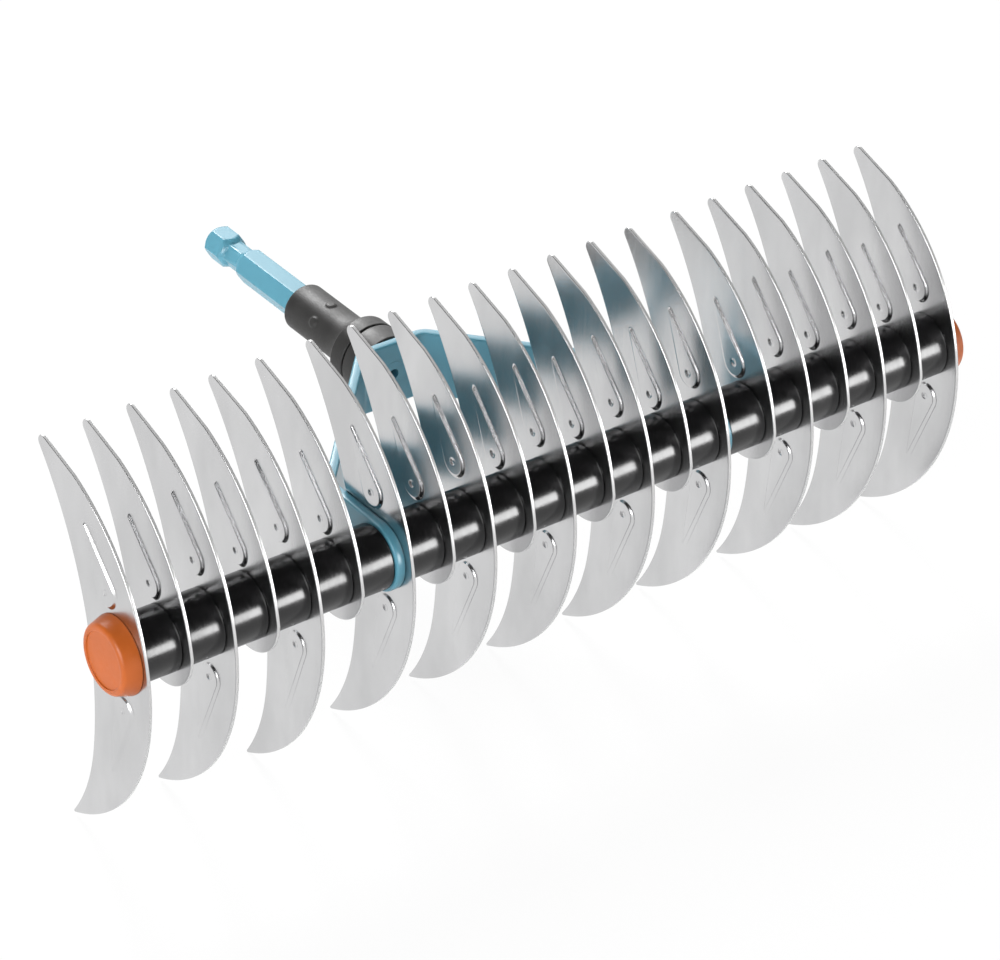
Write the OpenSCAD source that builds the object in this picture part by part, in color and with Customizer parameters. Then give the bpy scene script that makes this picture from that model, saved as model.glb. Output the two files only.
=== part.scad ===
// Thatch rake head: steel blades and sleeves on an axle, a bent strap bracket,
// and a swivelling coupling with a hexagonal plug for the handle.
// X runs along the bar, Y points to the handle, Z is up, and the end of the plug is the origin.

/* [Blades] */
// Thickness of a blade
blade_t = 1.2; // [1:0.1:2]
// Radius of a blade's front edge
front_r = 72; // [60:0.5:86]
// Distance from the bar's axis forward to the front edge's foremost point
front_reach = 17; // [14:0.5:20]
// Height of the front edge's centre over the bar
front_z = -12.9; // [-18:0.1:-8]
// Radius of a blade's back edge
back_r = 133.5; // [115:0.5:155]
// Distance from the bar's axis back to the back edge's foremost point
back_reach = 14.7; // [13:0.1:19]
// Height of the back edge's centre over the bar
back_z = -31; // [-36:0.1:-25]
// Radius of the back edge where it curls forward to the hook
curl_r = 70; // [55:0.5:85]
// Distance under the bar's axis where the curl starts
curl_drop = 47; // [42:0.5:55]
// Distance behind the bar where the straight cut to the upper tip starts
bevel_y = 26; // [20:0.5:34]
// Rise of the straight cut to the upper tip
bevel_angle = 17; // [12:0.5:20]
// Radius that rounds the upper tip
tip_r = 2.4; // [1.2:0.1:2.8]
// Radius that rounds the lower hook
hook_r = 0.5; // [0.3:0.1:1.2]
// Turn of the one blade that sits a little askew on the axle
askew_turn = 2.5; // [0:0.5:4]

/* [Leaf-shaped pressings] */
// Height of a pressing over the blade's face
press_h = 0.8; // [0.4:0.1:0.9]
// Width of a pressing's sloping side
press_wall = 1; // [0.6:0.1:1.4]
// Radius of the upper pressing's round end
upper_round_r = 5.8; // [4.5:0.1:6.2]
// Distance of the upper pressing's round end behind the bar
upper_round_y = 7; // [5.5:0.1:9]
// Height of the upper pressing's round end over the bar
upper_round_z = 19.8; // [19.5:0.1:23]
// Distance of the upper pressing's point behind the bar
upper_point_y = 19.3; // [17:0.1:21]
// Height of the upper pressing's point over the bar
upper_point_z = 38.2; // [34:0.1:41]
// Distance that the upper pressing of a short blade lies lower
short_drop = 2.6; // [0:0.1:2.8]
// Radius of the lower pressing's round end
lower_round_r = 5.4; // [4.2:0.1:5.8]
// Distance of the lower pressing's round end in front of the bar
lower_round_y = 2.8; // [1:0.1:4.5]
// Distance of the lower pressing's round end under the bar
lower_round_z = 20; // [19.6:0.1:23]
// Distance of the lower pressing's point behind the bar
lower_point_y = 3.2; // [1:0.1:6]
// Distance of the lower pressing's point under the bar
lower_point_z = 47; // [40:0.1:52]
// Radius of a pressing's pointed end
press_point_r = 1.3; // [1.2:0.1:1.8]
// Radius of the round dimple in a pressing's round end
dimple_r = 1.5; // [1:0.1:2]
// Depth of the round dimple
dimple_depth = 0.45; // [0.2:0.05:0.6]

/* [Bar] */
// Width of the row, from the first blade to the last, without the bracket's arms
row_width = 330; // [280:1:400]
// Diameter of the axle
axle_d = 10; // [8:0.5:12]
// Diameter of the spacer sleeves
spacer_d = 23; // [20:0.5:25]
// Rounding of a spacer's ends
spacer_round = 0.8; // [0.3:0.1:1.2]
// Gap between the axle and what is threaded on it
axle_gap = 0.05; // [0.02:0.01:0.15]
// Diameter of a retaining washer
washer_d = 18; // [16:0.5:20]
// Thickness of a retaining washer
washer_t = 1; // [0.6:0.1:1.4]
// Length of axle that stands out of a washer
axle_out = 1.6; // [1:0.1:2]
// Diameter of an end cap
cap_d = 27.6; // [25:0.2:30]
// Thickness of an end cap
cap_t = 6.2; // [5:0.1:8]
// Slope of an end cap's side
cap_slope = 16; // [6:1:20]
// Rounding of an end cap's rim
cap_round = 1.8; // [1:0.1:2.2]
// Diameter of the shallow recess in an end cap
cap_recess_d = 19.8; // [12:0.2:20]
// Depth of the shallow recess in an end cap
cap_recess = 0.5; // [0.3:0.1:1]

/* [Bracket] */
// Width of the strap
strap_w = 25; // [22:0.5:26]
// Thickness of the strap
strap_t = 3.5; // [2.5:0.1:4.5]
// Inner radius of the strap's bends
bend_r = 4; // [2:0.5:8]
// Distance from the bar's axis to the front of the middle plate
plate_reach = 86.5; // [80:0.5:100]
// Half width of the middle plate, to the corner of its bend
plate_half = 13; // [10:0.5:16]
// Distance from the bar's axis to the corner where an arm bends
arm_reach = 28.5; // [25:0.5:34]
// Blades from the middle blade to the one that an arm lies against
arm_blades = 4; // [3:1:6]

/* [Pivot] */
// Diameter of the pivot pin
pin_d = 10; // [8:0.5:10.5]
// Radial running gap between the pin and the sleeve
pin_gap = 0.06; // [0.02:0.01:0.1]
// Diameter of the small hole in the pin's front end
pin_dot_d = 4; // [2:0.2:5]
// Depth of the small hole in the pin's front end
pin_dot_depth = 4; // [2:0.5:6]
// Diameter of the flange that keeps the sleeve on
flange_d = 14; // [12.5:0.1:14.4]
// Thickness of the flange
flange_t = 2.5; // [1.5:0.1:3]
// End gap of the flange
flange_gap = 0.35; // [0.3:0.05:0.6]
// Diameter of the base ring and of the collar
collar_d = 25.4; // [24:0.2:30]
// Thickness of the base ring
base_t = 9.6; // [7:0.2:12]
// Gap between the base ring and the collar
groove_gap = 0.6; // [0.4:0.1:1]
// Rounding of the base ring and of the collar
collar_round = 1; // [0.5:0.1:1.4]
// Swing of the head to each side
swing = 15; // [5:1:25]
// Arc that the stop lug takes
lug_arc = 20; // [14:1:30]
// Inner radius of the stop lug
lug_in = 7.2; // [6.6:0.1:7.8]
// Outer radius of the stop lug
lug_out = 10; // [9:0.1:10.6]
// Height of the stop lug
lug_h = 2; // [1.5:0.1:2.5]
// Gap around the stop lug
lug_gap = 0.4; // [0.3:0.05:0.6]

/* [Sleeve and shank] */
// Diameter of the sleeve
sleeve_d = 17.6; // [17.2:0.1:19]
// Length of the sleeve with its collar
sleeve_len = 40.4; // [38:0.2:60]
// Thickness of the collar's rim
rim_t = 7; // [4:0.5:9]
// Length of the flare from the collar to the sleeve
flare_len = 9.5; // [5:0.5:12]
// Rounding of the sleeve's outer end
sleeve_round = 1.2; // [0.5:0.1:1.4]
// Wall of the sleeve's bearing, from the collar to the flange
bearing_len = 15.6; // [14:0.2:20]
// Width of the hexagon across its flats
hex_af = 11.4; // [10:0.1:12]
// Gap between the hexagon and its socket
socket_gap = 0.05; // [0.02:0.01:0.15]
// Length of hexagon between the sleeve and the neck
hex_len = 35; // [20:0.5:60]
// Length of the neck
neck_len = 8; // [6:0.5:12]
// Width of the neck across its flats
neck_af = 8.8; // [7:0.1:9.4]
// Length of the knob
knob_len = 11; // [9:0.5:18]
// Length of the cut that slopes the hexagon's ends
hex_cut = 2.4; // [1:0.1:3]
// Distance of the round studs from the sleeve's outer end
stud_back = 16.5; // [10:0.5:20]
// Diameter of a round stud on the sleeve
stud_d = 4.4; // [2.5:0.1:5]
// Height of a round stud over the sleeve
stud_h = 0.5; // [0.3:0.1:0.8]

/* [Hidden] */
blade_count = 21;
middle = (blade_count + 1) / 2;
askew_blade = 5;
stud_turns = [90, 150];
$fn = 96;
far = 200;
over = 0.5;
// Small step where a round end meets the sides that it runs into
step_in = 0.02;
bend_steps = 8;
hex_end_in = 0.4;

pitch = row_width / (blade_count - 1);
spacer_len = pitch - blade_t;
stack_half = (middle - 1) * pitch + strap_t + blade_t / 2;
bore_d = axle_d + 2 * axle_gap;
axle_half = stack_half + washer_t + axle_out;
arm_x = arm_blades * pitch + blade_t / 2 + strap_t / 2;
plate_mid = plate_reach + strap_t / 2;
plate_back = plate_reach + strap_t;
collar_y = plate_back + base_t + groove_gap;
flange_y = collar_y + bearing_len + flange_gap;
shank_y = flange_y + flange_t + flange_gap;
sleeve_end = collar_y + sleeve_len;
neck_y = sleeve_end + hex_len;
knob_y = neck_y + neck_len;
plug_y = knob_y + knob_len;
hex_r = hex_af / sqrt(3);
neck_r = neck_af / sqrt(3);
hex_end_r = neck_r - hex_end_in;
front_y = front_r - front_reach;
back_y = back_r + back_reach;
front_c = [front_y, front_z];
back_c = [back_y, back_z];
cap_c = [
    cap_d / 2 - cap_round / cos(cap_slope) - (cap_t - cap_round) * tan(cap_slope),
    cap_t - cap_round
];
colour_blue = [0.45, 0.68, 0.77];
colour_black = [0.05, 0.05, 0.06];
colour_steel = [0.78, 0.79, 0.8];
colour_orange = [0.84, 0.42, 0.2];

function two(k) = k < 10 ? str("0", k) : str(k);
function blade_name(k) = str("blade_", two(k));
function spacer_name(k) = str("spacer_", two(k));

// Side of the bracket's arms that a blade lies on: -1 left of both, 0 between, 1 right of both
function arm_side(k) = abs(k - middle) <= arm_blades ? 0 : sign(k - middle);
function blade_x(k) = (k - middle) * pitch + arm_side(k) * strap_t;
// Middle of the spacer that follows blade k, which lies against the blade away from an arm
function spacer_x(k) =
    arm_side(k) == 0 && arm_side(k + 1) != 0
        ? blade_x(k + 1) - pitch / 2
        : blade_x(k) + pitch / 2;

function unit(v) = v / norm(v);
function turned(v) = [-v.y, v.x];
// Lower meeting point of two circles
function lower_meet(c1, r1, c2, r2) =
    let (
        d = norm(c2 - c1),
        u = (c2 - c1) / d,
        a = (d * d + r1 * r1 - r2 * r2) / (2 * d)
    )
    c1 + a * u - sqrt(r1 * r1 - a * a) * turned(u);
// First meeting point of a line, from p along u, with a circle
function line_meet(p, u, c, r) =
    let (w = p - c, b = w * u)
    p + (-b - sqrt(b * b - w * w + r * r)) * u;

// Points of a bend about a centre, from one turn to another
function bend(centre, r, from, to) =
    [for (step = [0 : bend_steps])
        let (turn = from + (to - from) * step / bend_steps)
        centre + r * [cos(turn), sin(turn)]];

// Start of the straight cut on the front edge, and its direction
bevel_start = [bevel_y, front_z + sqrt(front_r * front_r - pow(bevel_y - front_y, 2))];
bevel_u = [cos(bevel_angle), sin(bevel_angle)];
// Start of the curl on the back edge, and the centre that makes it run on from there
curl_start = [back_y - sqrt(back_r * back_r - pow(-curl_drop - back_z, 2)), -curl_drop];
curl_c = curl_start + curl_r * unit(back_c - curl_start);
tip_c = line_meet(bevel_start - tip_r * turned(bevel_u), bevel_u, back_c, back_r + tip_r);
hook_c = lower_meet(front_c, front_r - hook_r, curl_c, curl_r + hook_r);
// The blade's edges level with the bar, which set the round end of a short blade
front_edge = front_y - sqrt(front_r * front_r - front_z * front_z);
back_edge = back_y - sqrt(back_r * back_r - back_z * back_z);

module in_handle_frame() {
    translate([0, -plug_y, 0]) children();
}

// Draws its children, made in a blade's plane, at x along the bar
module across(x) {
    in_handle_frame() translate([x, 0, 0]) rotate([90, 0, 90]) children();
}

// Draws its children, made along Z, along the handle from y
module along_handle(y) {
    in_handle_frame() translate([0, y, 0]) rotate([-90, 0, 0]) children();
}

// Ring with rounded outer corners, revolved about Z
module round_ring(inner, outer, height, low_round, high_round) {
    rotate_extrude() {
        difference() {
            translate([inner, 0]) square([outer - inner, height]);
            translate([outer - low_round, -over]) square([low_round + over, low_round + over]);
            translate([outer - high_round, height - high_round])
                square([high_round + over, high_round + over]);
        }
        translate([outer - low_round, low_round]) circle(low_round);
        translate([outer - high_round, height - high_round]) circle(high_round);
    }
}

// Takes the corner past a tip's two touching points, and puts the tip's circle there
module rounded_tip(centre, r, touch_1, touch_2) {
    out = unit((touch_1 + touch_2) / 2 - centre);
    difference() {
        children();
        polygon([touch_1, centre + 12 * r * out, touch_2]);
    }
    translate(centre) circle(r - step_in);
}

// What the back edge takes away: a wide circle, and the curl's circle under the curl's start
module back_cut() {
    difference() {
        translate(back_c) circle(back_r);
        translate([0, -curl_drop - far]) square([2 * far, far]);
    }
    translate(curl_c) circle(curl_r - step_in);
}

// Between the front and the back edge, and under the straight cut as far as the tip
module crescent() {
    cut_in = bevel_y + tip_r;
    difference() {
        union() {
            translate(front_c) circle(front_r);
            translate([cut_in, 0]) square([tip_c.x + 6 * tip_r - cut_in, far / 2]);
        }
        back_cut();
        translate(bevel_start) rotate(bevel_angle) translate([-far / 4, 0]) square(far);
    }
}

module tipped_crescent() {
    rounded_tip(
        tip_c,
        tip_r,
        tip_c + tip_r * turned(bevel_u),
        tip_c + tip_r * unit(back_c - tip_c)
    )
        crescent();
}

module long_outline() {
    rounded_tip(
        hook_c,
        hook_r,
        hook_c + hook_r * unit(hook_c - front_c),
        hook_c + hook_r * unit(curl_c - hook_c)
    )
        tipped_crescent();
}

module short_outline() {
    intersection() {
        tipped_crescent();
        union() {
            translate([-far / 2, 0]) square(far);
            translate([(front_edge + back_edge) / 2, 0]) circle((back_edge - front_edge) / 2);
        }
    }
}

// Leaf shape: a round end, a pointed end and the straight sides between them
module leaf(round_c, round_r, point_c, point_r) {
    way = unit(point_c - round_c);
    lean = asin((round_r - point_r) / norm(point_c - round_c));
    side_1 = sin(lean) * way + cos(lean) * turned(way);
    side_2 = sin(lean) * way - cos(lean) * turned(way);
    translate(round_c) circle(round_r);
    translate(point_c) circle(point_r);
    polygon([
        round_c + (round_r - step_in) * side_1,
        point_c + (point_r - step_in) * side_1,
        point_c + (point_r - step_in) * side_2,
        round_c + (round_r - step_in) * side_2
    ]);
}

// Block of one pressing that stands on the face at height z, drawn in from its outline
module pressing(round_c, round_r, point_c, z, draw_in) {
    difference() {
        translate([0, 0, z - over]) linear_extrude(press_h + over)
            leaf(round_c, round_r - draw_in, point_c, press_point_r - draw_in);
        translate([round_c.x, round_c.y, z + press_h - dimple_depth])
            cylinder(r = dimple_r, h = dimple_depth + over);
    }
}

module pressings(is_long, z, draw_in) {
    drop = is_long ? 0 : short_drop;
    pressing(
        [upper_round_y, upper_round_z - drop],
        upper_round_r,
        [upper_point_y, upper_point_z - drop],
        z,
        draw_in
    );
    if (is_long)
        pressing(
            [-lower_round_y, -lower_round_z],
            lower_round_r,
            [lower_point_y, -lower_point_z],
            z,
            draw_in
        );
}

// A blade, whose pressings rise to the left
module blade(k) {
    is_long = k % 2 == 1;
    turn = k == askew_blade ? -askew_turn : 0;
    color(colour_steel) across(blade_x(k)) rotate([0, 0, turn]) mirror([0, 0, 1]) {
        difference() {
            union() {
                translate([0, 0, -blade_t / 2]) linear_extrude(blade_t) {
                    if (is_long) long_outline();
                    else short_outline();
                }
                pressings(is_long, blade_t / 2, press_wall / 2);
            }
            pressings(is_long, -blade_t / 2, press_wall);
            cylinder(d = bore_d, h = 4 * blade_t, center = true);
        }
    }
}

module spacer(k) {
    color(colour_black) across(spacer_x(k)) translate([0, 0, -spacer_len / 2])
        round_ring(bore_d / 2, spacer_d / 2, spacer_len, spacer_round, spacer_round);
}

module axle() {
    color(colour_steel) across(0) cylinder(d = axle_d, h = 2 * axle_half, center = true);
}

module washer(side) {
    color(colour_steel) across(side * (stack_half + washer_t / 2)) difference() {
        cylinder(d = washer_d, h = washer_t, center = true);
        cylinder(d = bore_d, h = 2 * washer_t, center = true);
    }
}

// End cap with its hollow over the washer and the axle's end
module cap(side) {
    hollow = washer_t + axle_out + axle_gap;
    color(colour_orange) across(side * stack_half) mirror([0, 0, side < 0 ? 1 : 0]) difference() {
        rotate_extrude() polygon(concat(
            [[0, 0], [cap_d / 2, 0]],
            bend(cap_c, cap_round, cap_slope, 90),
            [[0, cap_t]]
        ));
        translate([0, 0, -over]) cylinder(d = washer_d + 2 * axle_gap, h = hollow + over);
        translate([0, 0, cap_t - cap_recess]) cylinder(d = cap_recess_d, h = cap_recess + over);
    }
}

// Right side of one face of the strap, at a radius of its bends: plate, slanted arm, end
function strap_side(r) =
    let (
        mid_r = bend_r + strap_t / 2,
        slant = atan2(plate_mid - arm_reach, arm_x - plate_half),
        plate_c = [plate_half - mid_r * tan(slant / 2), plate_mid - mid_r],
        arm_c = [arm_x - mid_r, arm_reach - mid_r * tan(45 - slant / 2)]
    )
    concat(
        bend(plate_c, r, 90, 90 - slant),
        bend(arm_c, r, 90 - slant, 0),
        [[arm_x - mid_r + r, 0]]
    );

function reversed(points) = [for (i = [len(points) - 1 : -1 : 0]) points[i]];
function with_left(points) =
    concat([for (point = reversed(points)) [-point.x, point.y]], points);

// The strap's edge, seen from above: its outer face, and back along its inner face
module strap_outline() {
    outer = with_left(strap_side(bend_r + strap_t));
    inner = with_left(strap_side(bend_r));
    polygon(concat(outer, reversed(inner)));
}

module bracket() {
    color(colour_blue) in_handle_frame() difference() {
        union() {
            translate([0, 0, -strap_w / 2]) linear_extrude(strap_w) strap_outline();
            for (side = [-1, 1])
                translate([side * arm_x, 0, 0]) rotate([0, 90, 0])
                    cylinder(d = strap_w, h = strap_t, center = true);
        }
        for (side = [-1, 1])
            translate([side * arm_x, 0, 0]) rotate([0, 90, 0])
                cylinder(d = bore_d, h = 2 * strap_t, center = true);
        translate([0, plate_mid, 0]) rotate([90, 0, 0])
            cylinder(d = pin_d + 2 * axle_gap, h = 2 * strap_t, center = true);
    }
}

// Rivet pin, flush with the plate's front, with a flange inside the sleeve
module pivot_pin() {
    color(colour_blue) along_handle(plate_reach) difference() {
        union() {
            cylinder(d = pin_d, h = flange_y + flange_t - plate_reach);
            translate([0, 0, flange_y - plate_reach]) cylinder(d = flange_d, h = flange_t);
        }
        translate([0, 0, -over]) cylinder(d = pin_dot_d, h = pin_dot_depth + over);
    }
}

// Arc of a ring about Z, centred on the lower side of the handle
module lower_arc(inner, outer, arc, height) {
    rotate([0, 0, 90 - arc / 2]) rotate_extrude(angle = arc)
        translate([inner, 0]) square([outer - inner, height]);
}

module pivot_base() {
    color(colour_black) along_handle(plate_back) {
        round_ring(pin_d / 2 + axle_gap, collar_d / 2, base_t, collar_round, collar_round / 2);
        translate([0, 0, base_t - over]) lower_arc(lug_in, lug_out, lug_arc, lug_h + over);
    }
}

// Outline of the collar and its flare, which ends on the sleeve's radius
module flare_outline() {
    rim_r = collar_d / 2;
    sleeve_r = sleeve_d / 2;
    square([rim_r - collar_round, rim_t]);
    translate([0, collar_round / 2]) square([rim_r, rim_t - 1.5 * collar_round]);
    translate([rim_r - collar_round / 2, collar_round / 2]) circle(collar_round / 2);
    translate([rim_r - collar_round, rim_t - collar_round]) circle(collar_round);
    polygon(concat(
        [[0, rim_t - over], [rim_r - collar_round, rim_t - over]],
        [for (step = [0 : 8])
            let (turn = 90 * step / 8)
            [
                rim_r - collar_round - (rim_r - collar_round - sleeve_r) * sin(turn),
                rim_t + flare_len * (1 - cos(turn))
            ]
        ],
        [[0, rim_t + flare_len]]
    ));
}

module pivot_sleeve() {
    slot_gap = 2 * asin(lug_gap / 2 / lug_in);
    slot_arc = lug_arc + 2 * (swing + slot_gap);
    cavity = flange_y + flange_t + flange_gap - (collar_y + bearing_len);
    color(colour_black) along_handle(collar_y) difference() {
        union() {
            rotate_extrude() flare_outline();
            round_ring(0, sleeve_d / 2, sleeve_len, 0.1, sleeve_round);
            for (turn = stud_turns)
                rotate([0, 0, -turn]) translate([sleeve_d / 2 - over, 0, sleeve_len - stud_back])
                    rotate([0, 90, 0]) cylinder(d = stud_d, h = stud_h + over);
        }
        translate([0, 0, -over]) cylinder(d = pin_d + 2 * pin_gap, h = bearing_len + 2 * over);
        translate([0, 0, bearing_len]) cylinder(d = flange_d + 2 * flange_gap, h = cavity);
        translate([0, 0, bearing_len + cavity - over])
            cylinder(r = hex_r + socket_gap, h = sleeve_len, $fn = 6);
        translate([0, 0, -over])
            lower_arc(lug_in - lug_gap, lug_out + lug_gap, slot_arc, lug_h - groove_gap + lug_gap + over);
    }
}

// Hexagonal bar along Z, narrowed in a cone over hex_cut at the ends that are asked for
module hex_bar(length, cut_low, cut_high) {
    clear_r = hex_r + over;
    intersection() {
        cylinder(r = hex_r, h = length, $fn = 6);
        union() {
            if (cut_low) cylinder(r1 = hex_end_r, r2 = clear_r, h = hex_cut);
            translate([0, 0, cut_low ? hex_cut : 0])
                cylinder(r = clear_r, h = length - (cut_low ? hex_cut : 0) - (cut_high ? hex_cut : 0));
            if (cut_high)
                translate([0, 0, length - hex_cut])
                    cylinder(r1 = clear_r, r2 = hex_end_r, h = hex_cut);
        }
    }
}

module hex_shank() {
    color(colour_blue) along_handle(shank_y) {
        hex_bar(neck_y - shank_y, false, true);
        translate([0, 0, neck_y - shank_y - over])
            cylinder(r = neck_r, h = neck_len + 2 * over, $fn = 6);
        translate([0, 0, knob_y - shank_y]) hex_bar(knob_len, true, true);
    }
}

axle();
washer(-1);  // washer_left
washer(1);  // washer_right
cap(-1);  // cap_left
cap(1);  // cap_right
bracket();
pivot_pin();
pivot_base();
pivot_sleeve();
hex_shank();
for (k = [1 : blade_count])
    blade(k);
for (k = [1 : blade_count - 1])
    spacer(k);
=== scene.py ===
"""Thatch rake head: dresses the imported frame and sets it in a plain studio."""

import logging
import math
from collections.abc import Callable, Sequence
from dataclasses import dataclass, field
from enum import Enum

import bmesh
import bpy
from mathutils import Matrix, Vector
from mathutils.geometry import delaunay_2d_cdt


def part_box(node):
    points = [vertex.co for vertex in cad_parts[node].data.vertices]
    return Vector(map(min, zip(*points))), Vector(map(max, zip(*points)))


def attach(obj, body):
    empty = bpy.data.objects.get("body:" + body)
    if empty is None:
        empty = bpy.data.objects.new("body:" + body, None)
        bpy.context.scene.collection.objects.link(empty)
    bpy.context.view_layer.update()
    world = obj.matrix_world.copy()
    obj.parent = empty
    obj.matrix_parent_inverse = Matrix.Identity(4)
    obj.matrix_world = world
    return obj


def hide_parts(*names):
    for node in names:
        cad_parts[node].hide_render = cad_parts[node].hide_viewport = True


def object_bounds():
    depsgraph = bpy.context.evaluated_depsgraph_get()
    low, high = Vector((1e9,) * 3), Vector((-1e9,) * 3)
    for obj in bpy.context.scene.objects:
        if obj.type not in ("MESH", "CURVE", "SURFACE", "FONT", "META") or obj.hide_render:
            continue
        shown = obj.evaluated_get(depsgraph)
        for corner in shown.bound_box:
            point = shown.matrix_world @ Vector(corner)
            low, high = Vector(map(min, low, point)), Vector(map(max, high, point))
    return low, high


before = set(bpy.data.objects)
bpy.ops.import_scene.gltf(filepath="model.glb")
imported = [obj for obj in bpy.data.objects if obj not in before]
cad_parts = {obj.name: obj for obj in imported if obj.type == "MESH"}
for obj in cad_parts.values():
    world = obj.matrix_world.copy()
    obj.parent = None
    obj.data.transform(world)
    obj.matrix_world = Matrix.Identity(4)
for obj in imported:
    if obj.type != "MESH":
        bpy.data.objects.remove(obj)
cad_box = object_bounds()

MM = 0.001
EDGE_MARK = "sheared"
EDGE_METAL = 0.25
MOTTLE_STOPS = (0.32, 0.68)
GLOSS_SPAN = (0.12, 0.4)
NOISE_BITE = 0.55
LOG = logging.getLogger("thatch_rake")

Loop = list[Vector]
Place = Callable[[float, float, float], Vector]


class Body(Enum):
    """The bodies that pieces ride on."""

    HEAD = "rake_head"
    COUPLING = "handle_coupling"


class Slot(Enum):
    """The record's material slots."""

    BLADE = "blade_steel"
    SPACER = "spacer_black"
    JOINT = "black_plastic"
    PAINT = "blue_paint"
    CAP = "orange_plastic"
    AXLE = "axle_steel"


def wire(
    tree: bpy.types.NodeTree, kind: str, inputs: dict[str, object], **settings: object
) -> bpy.types.Node:
    """Adds a node, sets its settings and sets or links its inputs.

    Args:
        tree: The node tree that takes the node.
        kind: The node's type name.
        inputs: Values, or output sockets to link, by input name.
        settings: The node's own properties.

    Returns:
        The new node.
    """
    node = tree.nodes.new(kind)
    for key, value in settings.items():
        setattr(node, key, value)
    for key, value in inputs.items():
        if isinstance(value, bpy.types.NodeSocket):
            tree.links.new(value, node.inputs[key])
        else:
            node.inputs[key].default_value = value
    return node


@dataclass(frozen=True)
class Finish:
    """A surface with a mottled colour and gloss, and a fine grain in its relief.

    Args:
        name: The material's name.
        slot: The record's slot that the finish stands for. Not used.
        dark: The colour at the darkest of the mottling.
        light: The colour at the lightest of the mottling.
        rough: The lowest and the highest roughness.
        mottle: Noise scale of the mottling, per metre, along X, Y and Z.
        grain: Noise scale of the relief, per metre, along X, Y and Z.
        relief: Depth of the relief in metres.
        metallic: Metal share of the shader.
        ior: Index of refraction, which sets the gloss of a surface that isn't metal.
        edge: The colour of a sheet's sheared edge, if it has one.
    """

    name: str
    slot: Slot
    dark: tuple[float, float, float]
    light: tuple[float, float, float]
    rough: tuple[float, float]
    mottle: tuple[float, float, float]
    grain: tuple[float, float, float]
    relief: float
    metallic: float = 0.0
    ior: float = 1.5
    edge: tuple[float, float, float] | None = None

    def noise(
        self,
        tree: bpy.types.NodeTree,
        coords: bpy.types.NodeSocket,
        scale: tuple[float, float, float],
        detail: float,
    ) -> bpy.types.NodeSocket:
        """Adds a stretched noise.

        Args:
            tree: The material's tree.
            coords: Object coordinates.
            scale: Noise scale along X, Y and Z.
            detail: Octaves of the noise.

        Returns:
            The noise's value socket.
        """
        mapped = wire(tree, "ShaderNodeMapping", {"Vector": coords, "Scale": scale})
        made = wire(
            tree,
            "ShaderNodeTexNoise",
            {"Vector": mapped.outputs["Vector"], "Scale": 1.0, "Detail": detail, "Roughness": NOISE_BITE},
        )
        return made.outputs[0]

    def sheared(
        self, tree: bpy.types.NodeTree, colour: bpy.types.NodeSocket
    ) -> dict[str, bpy.types.NodeSocket]:
        """Makes the sheet's sheared edge pale and dull, where the mesh marks it.

        Args:
            tree: The material's tree.
            colour: The colour of the sheet's faces.

        Returns:
            Sockets for the shader's inputs by name.
        """
        mark = wire(tree, "ShaderNodeAttribute", {}, attribute_name=EDGE_MARK).outputs["Fac"]
        mixed = wire(
            tree, "ShaderNodeMix", {0: mark, 6: colour, 7: (*self.edge, 1.0)}, data_type="RGBA"
        )
        metal = wire(
            tree, "ShaderNodeMapRange", {"Value": mark, "To Min": self.metallic, "To Max": EDGE_METAL}
        )
        return {"Base Color": mixed.outputs[2], "Metallic": metal.outputs["Result"]}

    def material(self) -> bpy.types.Material:
        """Builds the material, once for each name.

        Returns:
            The material.
        """
        known = bpy.data.materials.get(self.name)
        if known:
            return known
        made = bpy.data.materials.new(self.name)
        made.use_nodes = True
        tree = made.node_tree
        tree.nodes.clear()
        coords = wire(tree, "ShaderNodeTexCoord", {}).outputs["Object"]
        mottle = self.noise(tree, coords, self.mottle, 3.0)
        grain = self.noise(tree, coords, self.grain, 2.0)
        ramp = wire(tree, "ShaderNodeValToRGB", {"Fac": mottle})
        for stop, at, colour in zip(ramp.color_ramp.elements, MOTTLE_STOPS, (self.dark, self.light)):
            stop.position = at
            stop.color = (*colour, 1.0)
        mixed = wire(tree, "ShaderNodeMath", {0: mottle, 1: grain}, operation="MULTIPLY")
        rough = wire(
            tree,
            "ShaderNodeMapRange",
            {
                "Value": mixed.outputs[0],
                "From Min": GLOSS_SPAN[0],
                "From Max": GLOSS_SPAN[1],
                "To Min": self.rough[0],
                "To Max": self.rough[1],
            },
        )
        bump = wire(
            tree, "ShaderNodeBump", {"Height": grain, "Strength": 1.0, "Distance": self.relief}
        )
        inputs = {
            "Base Color": ramp.outputs["Color"],
            "Roughness": rough.outputs["Result"],
            "Normal": bump.outputs["Normal"],
            "Metallic": self.metallic,
            "IOR": self.ior,
        }
        if self.edge:
            inputs |= self.sheared(tree, inputs["Base Color"])
        shader = wire(tree, "ShaderNodeBsdfPrincipled", inputs)
        wire(tree, "ShaderNodeOutputMaterial", {"Surface": shader.outputs["BSDF"]})
        return made


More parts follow.
